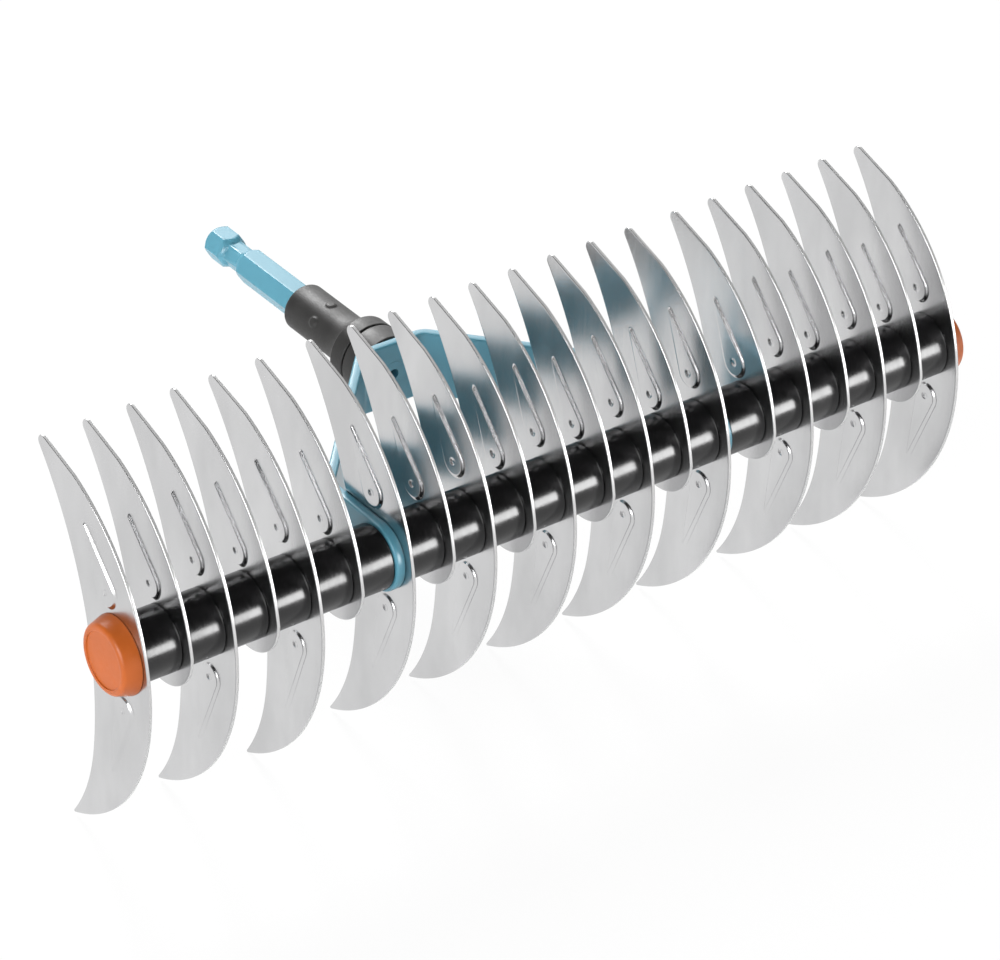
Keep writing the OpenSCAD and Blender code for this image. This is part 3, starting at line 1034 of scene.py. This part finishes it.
@dataclass
class Joint:
    """The moulded base ring and sleeve of the swivel, in millimetres from the collar's face."""

    base_merge: float = 2e-6
    bore_r: float = 5.06
    bearing: float = 15.6
    cavity_r: float = 7.35
    cavity_end: float = 18.8
    socket_r: float = 6.63
    groove: tuple[float, float] = (6.8, 10.4)
    groove_depth: float = 1.8
    rim: float = 7.0
    rim_round: float = 1.0
    flare: float = 9.5
    flare_steps: int = 15
    sleeve_r: float = 8.8
    sleeve_round: float = 1.2
    stud_back: float = 16.5
    stud_turns: tuple[float, float] = (90.0, 150.0)
    stud_r: float = 2.4
    stud_h: float = 0.5
    steps: int = 160
    wall_steps: int = 52

    def section(self, collar_r: float, length: float) -> Loop:
        """The sleeve's wall in section, once round: collar, flare, sleeve and hollow.

        Args:
            collar_r: The collar's radius.
            length: The sleeve's length.

        Returns:
            Points of radius and height.
        """
        right, soft = math.pi / 2, self.rim_round / 2
        inner, outer = self.groove
        points = [Vector((self.bore_r, 0.0)), Vector((inner, 0.0)), Vector((inner, self.groove_depth))]
        points += [Vector((outer, self.groove_depth)), Vector((outer, 0.0))]
        points += arc(Vector((collar_r - soft, soft)), soft, -right, 0.0, 5)
        shoulder = collar_r - self.rim_round
        points += arc(Vector((shoulder, self.rim - self.rim_round)), self.rim_round, 0.0, right, 8)
        drop = shoulder - self.sleeve_r
        for i in range(1, self.flare_steps):
            turn = right * i / self.flare_steps
            rise = self.flare * (1 - math.cos(turn))
            points.append(Vector((shoulder - drop * math.sin(turn), self.rim + rise)))
        start, end = self.rim + self.flare, length - self.sleeve_round
        for i in range(self.wall_steps):
            points.append(Vector((self.sleeve_r, start + (end - start) * i / self.wall_steps)))
        points += arc(Vector((self.sleeve_r - self.sleeve_round, end)), self.sleeve_round, 0.0, right, 8)
        hollow = ((self.socket_r, length), (self.socket_r, self.cavity_end))
        hollow += ((self.cavity_r, self.cavity_end), (self.cavity_r, self.bearing))
        return points + [Vector(p) for p in hollow] + [Vector((self.bore_r, self.bearing))]

    def stud(self, point: Vector, turn: float, height: float) -> float:
        """Rise of the round studs at a point of the sleeve's wall.

        Args:
            point: Radius and height in the section.
            turn: The point's angle round the handle in radians.
            height: The studs' height in the section.

        Returns:
            The rise in millimetres.
        """
        if abs(point.x - self.sleeve_r) > 1e-6:
            return 0.0
        rise = 0.0
        for at in self.stud_turns:
            aside = (turn - math.radians(at) + math.pi) % math.tau - math.pi
            away = math.hypot(point.y - height, aside * self.sleeve_r) / self.stud_r
            rise += self.stud_h * (0.5 + 0.5 * math.cos(math.pi * min(max(2 * away - 1, 0.0), 1.0)))
        return rise

    def sleeve(self) -> None:
        """Turns the sleeve where its node is."""
        low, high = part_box("pivot_sleeve")
        length = (high.y - low.y) / MM
        turns = [math.tau * i / self.steps for i in range(self.steps)]
        rings = []
        for point in self.section((high.x - low.x) / 2 / MM, length):
            radii = [point.x + self.stud(point, turn, length - self.stud_back) for turn in turns]
            rings.append([
                Vector((r * math.cos(t) * MM, low.y + point.y * MM, r * math.sin(t) * MM))
                for r, t in zip(radii, turns)
            ])
        piece = add_object("moulded_pivot_sleeve", loft("moulded_pivot_sleeve", rings, hollow=True))
        dress(piece, MOULDED_BLACK, Body.COUPLING, "pivot_sleeve")

    def build(self) -> None:
        """Makes the sleeve anew and the base ring from its solid, and paints the pin."""
        self.sleeve()
        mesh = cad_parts["pivot_base"].data.copy()
        mesh.name = "moulded_pivot_base"
        close_mesh(mesh, merge=self.base_merge)
        dress(add_object(mesh.name, mesh), MOULDED_BLACK, Body.HEAD, "pivot_base")
        paint_node("pivot_pin", BLUE_PAINT)


@dataclass
class HexShank:
    """The hexagonal shank with its turned neck and knob, in millimetres from the plug's end."""

    across_flats: float = 11.4
    neck_flats: float = 8.8
    knob_len: float = 11.0
    neck_len: float = 8.0
    cut: float = 2.4
    end_cut: float = 1.5
    end_r: float = 5.5
    end_round: float = 0.25
    corner: float = 0.25
    hold: float = 0.4
    cone_steps: int = 6
    flat_steps: int = 8

    @property
    def corner_r(self) -> float:
        """Radius of the full hexagon over its rounded corners."""
        return (self.across_flats / 2 - self.corner) / math.cos(math.pi / 6) + self.corner

    def ring(self, y: float, flats: float, limit: float) -> list[Vector]:
        """A hexagon with rounded corners, two of them on X, turned down to a radius.

        Args:
            y: The ring's place along the handle.
            flats: Width across the flats.
            limit: The turned radius, which cuts the corners.

        Returns:
            The ring's points in metres.
        """
        apothem = flats / 2
        reach = (apothem - self.corner) / math.cos(math.pi / 6)
        half = (apothem - self.corner) * math.tan(math.pi / 6)
        points: list[Vector] = []
        for k in range(6):
            turn = k * math.pi / 3
            centre = reach * Vector((math.cos(turn), math.sin(turn)))
            points += arc(centre, self.corner, turn - math.pi / 6, turn + math.pi / 6, 4)
            side = turn + math.pi / 6
            normal = Vector((math.cos(side), math.sin(side)))
            along = Vector((-normal.y, normal.x))
            for i in range(1, self.flat_steps):
                points.append(apothem * normal + half * (2 * i / self.flat_steps - 1) * along)
        turned = [p * min(1.0, limit / p.length) for p in points]
        return [Vector((p.x * MM, y * MM, p.y * MM)) for p in turned]

    def cone(self, low: tuple[float, float], high: tuple[float, float]) -> list[list[Vector]]:
        """The full hexagon turned to a cone.

        Args:
            low: Place and radius at the cone's start.
            high: Place and radius at its end.

        Returns:
            The rings in order.
        """
        shares = [i / self.cone_steps for i in range(self.cone_steps + 1)]
        return [
            self.ring(low[0] + (high[0] - low[0]) * t, self.across_flats, low[1] + (high[1] - low[1]) * t)
            for t in shares
        ]

    def build(self) -> None:
        """Lofts the shank where its node is."""
        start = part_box("hex_shank")[0].y / MM
        knob, neck = -self.knob_len, -self.knob_len - self.neck_len
        wide, full = self.across_flats, self.corner_r
        neck_r = self.neck_flats / math.sqrt(3)
        rings = [self.ring(y, wide, full) for y in (start, neck - self.cut - self.hold)]
        rings += self.cone((neck - self.cut, full), (neck, neck_r))
        rings += [self.ring(y, self.neck_flats, full) for y in (neck + self.hold, knob - self.hold)]
        rings += self.cone((knob, neck_r), (knob + self.cut, full))
        middle = (knob + self.cut + self.hold, -self.end_cut - self.hold)
        rings += [self.ring(y, wide, full) for y in middle]
        rings += self.cone((-self.end_cut, full), (-self.end_round, self.end_r))
        rings.append(self.ring(0.0, wide, self.end_r - self.end_round))
        piece = add_object("painted_hex_shank", loft("painted_hex_shank", rings))
        dress(piece, BLUE_PAINT, Body.COUPLING, "hex_shank")


@dataclass
class Lamp:
    """A soft box that looks at the bar's middle, in metres from it.

    Args:
        name: The lamp's name.
        place: Where it stands.
        size: Its width and height.
        power: Its power in watts.
        diffuse: True if it lights matt faces.
        glossy: True if it shows in glossy faces.
    """

    name: str
    place: tuple[float, float, float]
    size: tuple[float, float]
    power: float
    diffuse: bool = True
    glossy: bool = True

    def build(self, aim: Vector) -> None:
        """Adds the lamp.

        Args:
            aim: The point that it faces.
        """
        light = bpy.data.lights.new(self.name, "AREA")
        light.shape = "RECTANGLE"
        light.size, light.size_y = self.size
        light.energy = self.power
        lamp = bpy.data.objects.new(self.name, light)
        lamp.location = aim + Vector(self.place)
        lamp.rotation_euler = (-Vector(self.place)).to_track_quat("-Z", "Y").to_euler()
        lamp.visible_camera = False
        lamp.visible_diffuse = self.diffuse
        lamp.visible_glossy = self.glossy
        bpy.context.scene.collection.objects.link(lamp)


@dataclass
class Studio:
    """The camera, the floor, the world and the lamps.

    The surround darkens between the two heights of haze, to the level given by overhead.
    """

    bar: Bar
    azimuth: float = -38.408
    elevation: float = 33.345
    roll: float = 2.665
    eye: tuple[float, float, float] = (-839.95, -1034.51, 879.87)
    lens: float = 172.8
    sensor: float = 36.0
    clip: tuple[float, float] = (0.05, 100.0)
    floor_half: float = 12.0
    floor_glow: float = 0.93
    floor_grey: float = 0.86
    haze: tuple[float, float] = (0.02, 0.32)
    overhead: float = 0.1
    lamps: tuple[Lamp, ...] = (
        # The bright bands on the spacer sleeves.
        Lamp("front_box", (0.66, -1.06, 0.12), (0.85, 0.62), 29.5, diffuse=False),
        # Soft light on the plate and the right cap.
        Lamp("fill_box", (0.8, -0.95, 0.3), (1.0, 0.8), 9.0, glossy=False),
        Lamp("left_box", (-1.7, -0.5, 0.55), (1.2, 1.0), 36.0),
        Lamp("back_box", (0.3, 1.5, 1.25), (0.8, 0.8), 50.0),
        # The sheen on the shank's upper flat and on the joint.
        Lamp("right_box", (0.96, 1.25, 0.75), (1.0, 0.9), 9.5, diffuse=False),
    )

    def camera(self) -> None:
        """Adds the camera at the photograph's viewing angle."""
        turn, rise, roll = (math.radians(a) for a in (self.azimuth, self.elevation, self.roll))
        back = Vector(
            (math.sin(turn) * math.cos(rise), -math.cos(turn) * math.cos(rise), math.sin(rise))
        )
        level = Vector((math.cos(turn), math.sin(turn), 0.0))
        right = math.cos(roll) * level + math.sin(roll) * back.cross(level)
        view = bpy.data.cameras.new("photo_view")
        view.sensor_fit, view.sensor_width, view.lens = "HORIZONTAL", self.sensor, self.lens
        view.clip_start, view.clip_end = self.clip
        camera = bpy.data.objects.new("photo_view", view)
        axes = Matrix((right, back.cross(right), back)).transposed().to_4x4()
        camera.matrix_world = Matrix.Translation(self.bar.point(*self.eye)) @ axes
        bpy.context.scene.collection.objects.link(camera)
        bpy.context.scene.camera = camera

    def seen(self, tree: bpy.types.NodeTree) -> bpy.types.NodeSocket:
        """One for rays of the camera, of gloss and of glass, and zero for others.

        Args:
            tree: The tree that takes the nodes.

        Returns:
            The value's socket.
        """
        path = wire(tree, "ShaderNodeLightPath", {}).outputs
        first = wire(
            tree,
            "ShaderNodeMath",
            {0: path["Is Camera Ray"], 1: path["Is Glossy Ray"]},
            operation="MAXIMUM",
        )
        both = {0: first.outputs[0], 1: path["Is Transmission Ray"]}
        return wire(tree, "ShaderNodeMath", both, operation="MAXIMUM").outputs[0]

    def floor(self) -> None:
        """Lays a plain pale floor under the hooks."""
        low = cad_box[0].z
        form = bmesh.new()
        bmesh.ops.create_grid(form, x_segments=4, y_segments=4, size=self.floor_half)
        bmesh.ops.translate(form, verts=form.verts, vec=(0.0, 0.0, low))
        mesh = bpy.data.meshes.new("studio_floor")
        form.to_mesh(mesh)
        form.free()
        made = bpy.data.materials.new("pale_floor")
        made.use_nodes = True
        tree = made.node_tree
        tree.nodes.clear()
        grey = (self.floor_grey, self.floor_grey, self.floor_grey, 1.0)
        matt = wire(tree, "ShaderNodeBsdfDiffuse", {"Color": grey})
        glow = wire(tree, "ShaderNodeEmission", {"Color": (1.0, 1.0, 1.0, 1.0), "Strength": 1.0})
        share = {0: self.seen(tree), 1: self.floor_glow}
        amount = wire(tree, "ShaderNodeMath", share, operation="MULTIPLY")
        both = {0: amount.outputs[0], 1: matt.outputs[0], 2: glow.outputs[0]}
        mixed = wire(tree, "ShaderNodeMixShader", both)
        wire(tree, "ShaderNodeOutputMaterial", {"Surface": mixed.outputs[0]})
        mesh.materials.append(made)
        add_object("studio_floor", mesh)

    def world(self) -> None:
        """Makes a pale surround that darkens overhead, and white for the camera."""
        made = bpy.data.worlds.new("studio")
        bpy.context.scene.world = made
        made.use_nodes = True
        tree = made.node_tree
        tree.nodes.clear()
        way = wire(tree, "ShaderNodeTexCoord", {}).outputs["Generated"]
        height = wire(tree, "ShaderNodeSeparateXYZ", {"Vector": way}).outputs["Z"]
        span = {"Value": height, "From Min": self.haze[0], "From Max": self.haze[1]}
        fall = wire(tree, "ShaderNodeMapRange", span | {"To Min": 1.0, "To Max": self.overhead})
        camera = wire(tree, "ShaderNodeLightPath", {}).outputs["Is Camera Ray"]
        level = {0: fall.outputs["Result"], 1: camera}
        strength = wire(tree, "ShaderNodeMath", level, operation="MAXIMUM")
        sky = {"Color": (1.0, 1.0, 1.0, 1.0), "Strength": strength.outputs[0]}
        shade = wire(tree, "ShaderNodeBackground", sky)
        wire(tree, "ShaderNodeOutputWorld", {"Surface": shade.outputs[0]})

    def build(self) -> None:
        """Sets up the whole studio."""
        bpy.context.scene.view_settings.view_transform = "Standard"
        self.camera()
        self.floor()
        self.world()
        aim = self.bar.point(0.0, 0.0, 0.0)
        for lamp in self.lamps:
            lamp.build(aim)


def main() -> None:
    """Builds the studio and every sub-assembly, in order."""
    logging.basicConfig(level=logging.INFO, format="%(name)s: %(message)s")
    bar = Bar.from_frame()
    Studio(bar).build()
    BladeRow(bar).build()
    SleeveRow(bar).build()
    EndCaps(bar).build()
    StrapBracket(bar).build()
    Joint().build()
    HexShank().build()
    for node in ("axle", "washer_left", "washer_right"):
        paint_node(node, AXLE_STEEL)


if __name__ == "__main__":
    main()
